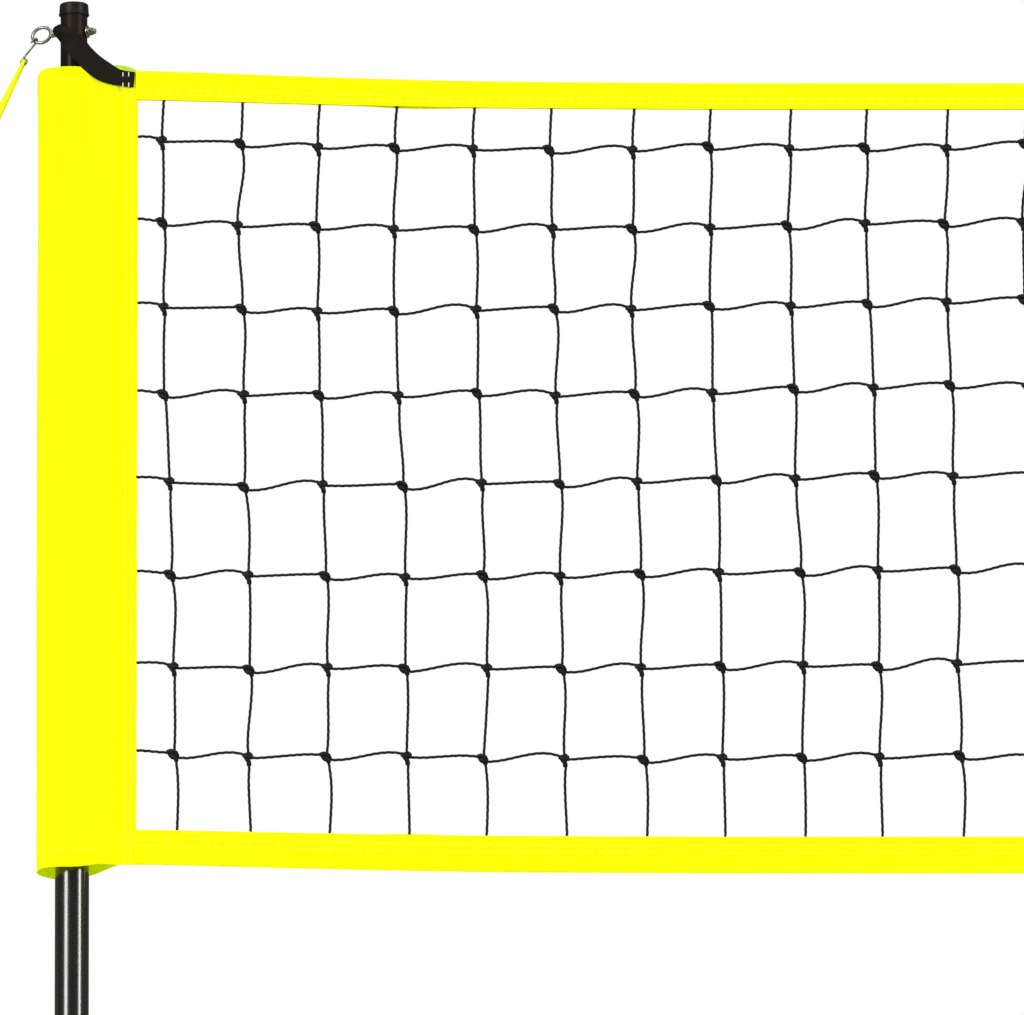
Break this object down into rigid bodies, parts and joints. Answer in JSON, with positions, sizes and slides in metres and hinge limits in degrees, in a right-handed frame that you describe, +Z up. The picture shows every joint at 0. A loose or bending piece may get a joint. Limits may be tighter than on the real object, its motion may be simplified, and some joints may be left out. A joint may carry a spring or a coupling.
{
  "type": "volleyball net on poles",
  "caption": "Portable outdoor volleyball net with bright side and edge bands on telescopic steel poles, guyed with ropes to ground stakes.",
  "frame": {"origin": "on the ground, midway between the two poles", "axes": "+X along the net, +Y to the back, +Z up"},
  "size_m": [12.09, 1.4324, 2.51],
  "materials": {
    "rubber_foot": "matt moulded rubber",
    "black_enamel": "gloss black enamel on steel tube",
    "grey_nylon": "moulded nylon",
    "black_nylon": "moulded nylon, satin",
    "black_cap": "moulded polyethylene, satin",
    "zinc_plate": "bright zinc plate",
    "hook_wire": "bright drawn wire",
    "yellow_band": "coated polyester cloth",
    "black_webbing": "woven polypropylene webbing",
    "yellow_rope": "braided polypropylene",
    "steel_stake": "zinc plated steel rod",
    "yellow_tape": "coated polyester cloth",
    "black_twine": "twisted polyethylene twine"
  },
  "bodies": {
    "ground_side": {"foot_cap_left": "rubber_foot", "lower_tube_left": "black_enamel", "middle_tube_left": "black_enamel", "lock_bush_left": "grey_nylon", "guy_rope_left": "yellow_rope", "foot_cap_right": "rubber_foot", "lower_tube_right": "black_enamel", "middle_tube_right": "black_enamel", "lock_bush_right": "grey_nylon", "guy_rope_right": "yellow_rope", "stake_rings": "zinc_plate"},
    "net_side": {"upper_tube_left": "black_enamel", "tube_guide_left": "grey_nylon", "top_cap_left": "black_cap", "side_band_left": "yellow_band", "corner_strap_left": "black_webbing", "upper_tube_right": "black_enamel", "tube_guide_right": "grey_nylon", "top_cap_right": "black_cap", "side_band_right": "yellow_band", "corner_strap_right": "black_webbing", "eye_bolts": "zinc_plate", "bolt_washers": "zinc_plate", "rope_hooks": "hook_wire", "top_tape": "yellow_tape", "bottom_tape": "yellow_tape", "net": "black_twine"},
    "left_twist_collar": {"twist_collar_left": "black_nylon"},
    "left_wing_nut": {"wing_nut_left": "zinc_plate"},
    "right_twist_collar": {"twist_collar_right": "black_nylon"},
    "right_wing_nut": {"wing_nut_right": "zinc_plate"},
    "left_front_stake": {"stake_left_front": "steel_stake"},
    "left_front_tensioner": {"tensioner_left_front": "black_nylon"},
    "left_back_stake": {"stake_left_back": "steel_stake"},
    "left_back_tensioner": {"tensioner_left_back": "black_nylon"},
    "right_front_stake": {"stake_right_front": "steel_stake"},
    "right_front_tensioner": {"tensioner_right_front": "black_nylon"},
    "right_back_stake": {"stake_right_back": "steel_stake"},
    "right_back_tensioner": {"tensioner_right_back": "black_nylon"}
  },
  "joints": [
    {"name": "net_height", "type": "slide", "parent": "ground_side", "child": "net_side", "axis": [0, 0, 1], "range_m": [-0.19, 0], "deforming": ["guy_rope_left", "guy_rope_right"]},
    {"name": "left_collar_twist", "type": "hinge", "parent": "ground_side", "child": "left_twist_collar", "pos_m": [-4.8355, 0, 1.64], "axis": [0, 0, 1], "range_deg": [0, 90]},
    {"name": "left_wing_nut_turn", "type": "hinge", "parent": "net_side", "child": "left_wing_nut", "pos_m": [-4.8355, 0, 2.4749], "axis": [0.9511, -0.309, 0], "continuous": true},
    {"name": "right_collar_twist", "type": "hinge", "parent": "ground_side", "child": "right_twist_collar", "pos_m": [4.8355, 0, 1.64], "axis": [0, 0, 1], "range_deg": [0, 90]},
    {"name": "right_wing_nut_turn", "type": "hinge", "parent": "net_side", "child": "right_wing_nut", "pos_m": [4.8355, 0, 2.4749], "axis": [-0.9511, -0.309, 0], "continuous": true},
    {"name": "left_front_stake_drive", "type": "slide", "parent": "ground_side", "child": "left_front_stake", "axis": [0, 0, 1], "range_m": [-0.25, 0]},
    {"name": "left_front_tensioner_slide", "type": "slide", "parent": "ground_side", "child": "left_front_tensioner", "axis": [-0.4111, -0.2581, -0.8743], "range_m": [-0.25, 0.25]},
    {"name": "left_back_stake_drive", "type": "slide", "parent": "ground_side", "child": "left_back_stake", "axis": [0, 0, 1], "range_m": [-0.25, 0]},
    {"name": "left_back_tensioner_slide", "type": "slide", "parent": "ground_side", "child": "left_back_tensioner", "axis": [-0.4124, 0.2464, -0.8771], "range_m": [-0.25, 0.25]},
    {"name": "right_front_stake_drive", "type": "slide", "parent": "ground_side", "child": "right_front_stake", "axis": [0, 0, 1], "range_m": [-0.25, 0]},
    {"name": "right_front_tensioner_slide", "type": "slide", "parent": "ground_side", "child": "right_front_tensioner", "axis": [0.4111, -0.2581, -0.8743], "range_m": [-0.25, 0.25]},
    {"name": "right_back_stake_drive", "type": "slide", "parent": "ground_side", "child": "right_back_stake", "axis": [0, 0, 1], "range_m": [-0.25, 0]},
    {"name": "right_back_tensioner_slide", "type": "slide", "parent": "ground_side", "child": "right_back_tensioner", "axis": [0.4124, 0.2464, -0.8771], "range_m": [-0.25, 0.25]}
  ]
}
